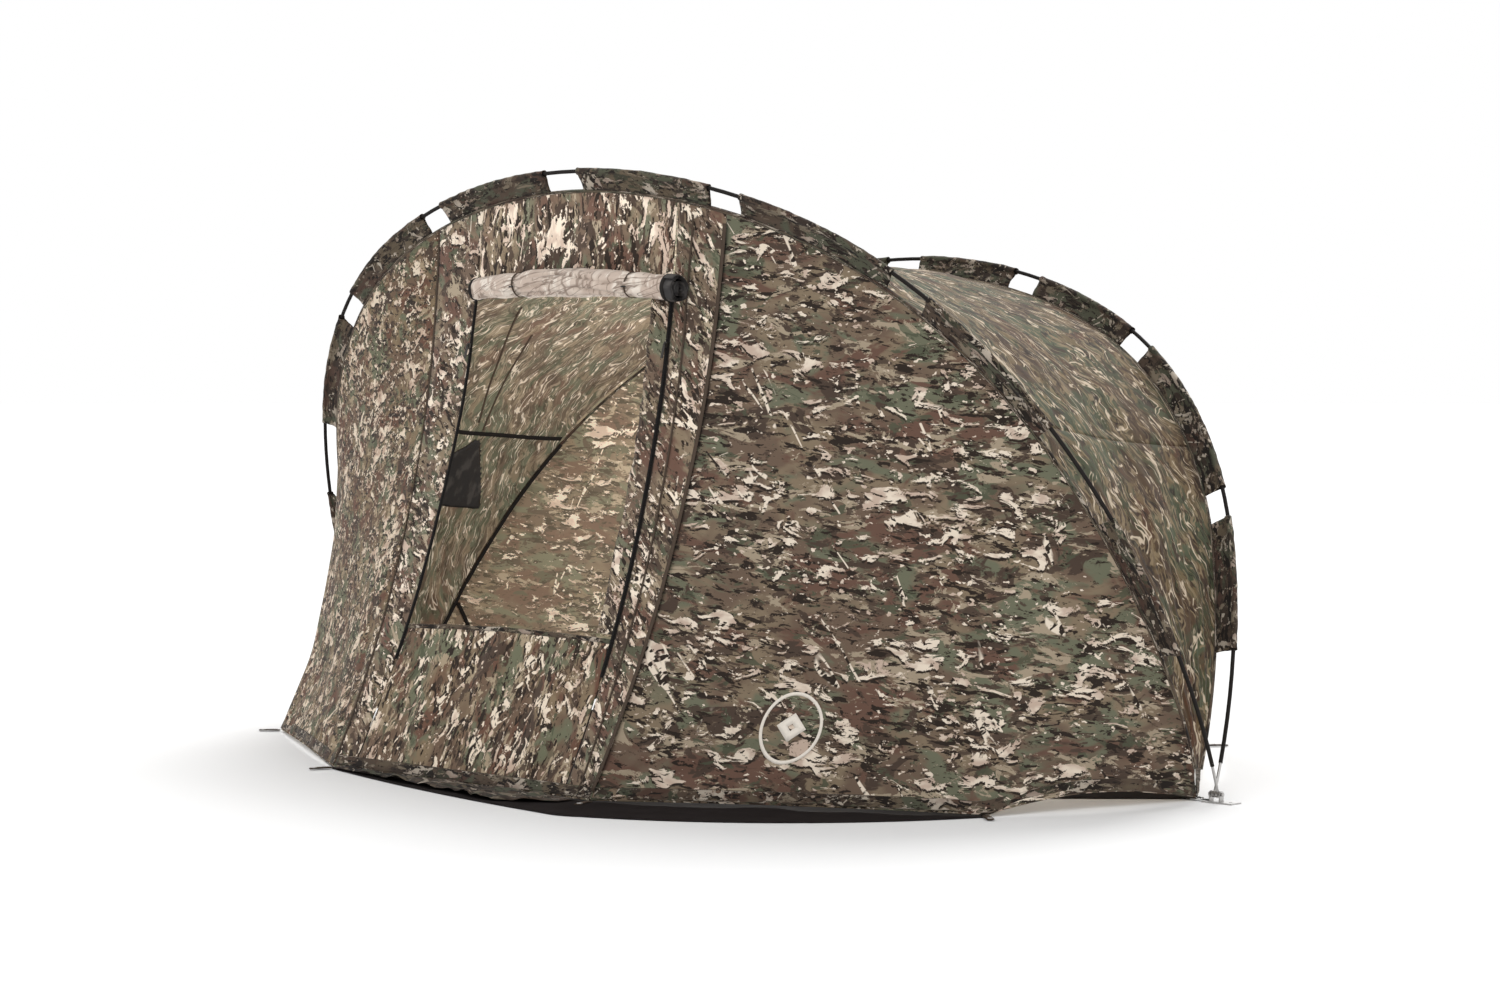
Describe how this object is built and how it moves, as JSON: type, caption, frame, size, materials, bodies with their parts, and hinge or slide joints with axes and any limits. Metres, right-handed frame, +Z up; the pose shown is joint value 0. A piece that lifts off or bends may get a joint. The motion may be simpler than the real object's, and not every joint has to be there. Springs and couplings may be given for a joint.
{
  "type": "two-rib bivvy shelter",
  "caption": "Low two-rib pop-up bivvy shelter in camouflage cloth, with a rolled-up front door, a side vent and a groundsheet; folds flat forwards about its two hubs.",
  "frame": {"origin": "on the ground, midway between the two hubs", "axes": "+X to the right hub along the hub axis, +Y to the rear, +Z up; the door faces -Y"},
  "size_m": [3.528, 2.4949, 1.7007],
  "materials": {
    "camo": "matt printed polyester, coated inside",
    "lining": "matt, the pale reverse of the door cloth",
    "webbing": "matt woven tape",
    "mesh": "fine insect mesh",
    "groundsheet": "laminated woven sheet",
    "pole": "glass-fibre tube",
    "steel": "plain steel",
    "zip": "coil zip",
    "cord": "elastic shock cord"
  },
  "bodies": {
    "base": {"groundsheet": "groundsheet", "hub_bracket_right": "steel", "hub_bracket_left": "steel", "hub_pin_right": "steel", "hub_pin_left": "steel", "hub_strap_right": "webbing", "hub_strap_left": "webbing", "front_peg_loops": "webbing", "front_hem_tape": "webbing", "front_panel_right": "camo", "front_panel_left": "camo", "door_strip_right": "camo", "door_strip_left": "camo", "zip_track_right": "zip", "zip_track_left": "zip", "door_header": "camo", "door_sill": "camo", "zip_baffle": "camo", "storm_flap": "camo", "sill_flap": "camo"},
    "front_rib": {"front_pole": "pole", "front_ferrules": "steel", "front_shock_cord": "cord", "front_tip_right": "steel", "front_tip_left": "steel", "front_sleeves": "camo"},
    "rear_rib": {"rear_pole": "pole", "rear_ferrules": "steel", "rear_shock_cord": "cord", "rear_tip_right": "steel", "rear_tip_left": "steel", "rear_sleeves": "camo", "roof_panel": "camo", "side_panel_right": "camo", "side_panel_left": "camo", "vent_mesh": "mesh", "side_seam_tapes": "webbing", "rear_wall": "camo", "rear_corner_right": "camo", "rear_corner_left": "camo", "rear_seam_tapes": "webbing"},
    "rear_hem": {"rear_hem_tape": "webbing", "rear_peg_loops": "webbing"},
    "door_top": {"roll_ties": "webbing", "tie_toggles": "zip"},
    "rolled_door": {"door_roll": "lining", "mesh_roll": "mesh"},
    "slider_right": {"zip_slider_right": "steel"},
    "slider_left": {"zip_slider_left": "steel"},
    "pull_right": {"zip_pull_right": "steel"},
    "pull_left": {"zip_pull_left": "steel"}
  },
  "joints": [
    {"name": "front_fold", "type": "hinge", "parent": "base", "child": "front_rib", "pos_m": [0, 0, 0.022], "axis": [1, 0, 0], "range_deg": [0, 60], "deforming": ["front_panel_right", "front_panel_left", "door_strip_right", "door_strip_left", "zip_track_right", "zip_track_left", "door_header", "door_sill", "zip_baffle", "storm_flap"]},
    {"name": "rear_fold", "type": "hinge", "parent": "front_rib", "child": "rear_rib", "pos_m": [0, 0, 0.022], "axis": [1, 0, 0], "range_deg": [0, 44.62], "deforming": ["roof_panel", "side_panel_right", "side_panel_left", "vent_mesh", "side_seam_tapes"]},
    {"name": "hem_lift", "type": "hinge", "parent": "rear_rib", "child": "rear_hem", "pos_m": [0, 0, 0.022], "axis": [1, 0, 0], "range_deg": [0, 60.38], "deforming": ["rear_wall", "rear_corner_right", "rear_corner_left", "rear_seam_tapes"]},
    {"name": "door_head_fold", "type": "hinge", "parent": "base", "child": "door_top", "pos_m": [0, 0, 0.022], "axis": [1, 0, 0], "range_deg": [0, 54.01]},
    {"name": "door_unroll", "type": "slide", "parent": "door_top", "child": "rolled_door", "axis": [0, 0.2208, 0.9753], "range_m": [-0.8778, 0], "deforming": ["door_roll", "mesh_roll", "roll_ties", "tie_toggles"]},
    {"name": "zip_run_right", "type": "slide", "parent": "door_top", "child": "slider_right", "axis": [0, 0.2556, 0.9668], "range_m": [-0.84621, 0]},
    {"name": "pull_swing_right", "type": "hinge", "parent": "slider_right", "child": "pull_right", "pos_m": [0.43, -0.78267, 1.20581], "axis": [1, 0, 0], "range_deg": [-150, 0]},
    {"name": "zip_run_left", "type": "slide", "parent": "door_top", "child": "slider_left", "axis": [0.0543, 0.25, 0.9667], "range_m": [-0.85285, 0]},
    {"name": "pull_swing_left", "type": "hinge", "parent": "slider_left", "child": "pull_left", "pos_m": [-0.3887, -0.78565, 1.21193], "axis": [1, 0, 0], "range_deg": [-150, 0]}
  ],
  "couplings": [
    {"joint": "rear_fold", "follows": "front_fold", "ratio": 0.74367},
    {"joint": "hem_lift", "follows": "front_fold", "ratio": 1.0063},
    {"joint": "door_head_fold", "follows": "front_fold", "ratio": 0.90014},
    {"joint": "zip_run_right", "follows": "door_unroll", "ratio": 0.964},
    {"joint": "zip_run_left", "follows": "door_unroll", "ratio": 0.97157}
  ]
}
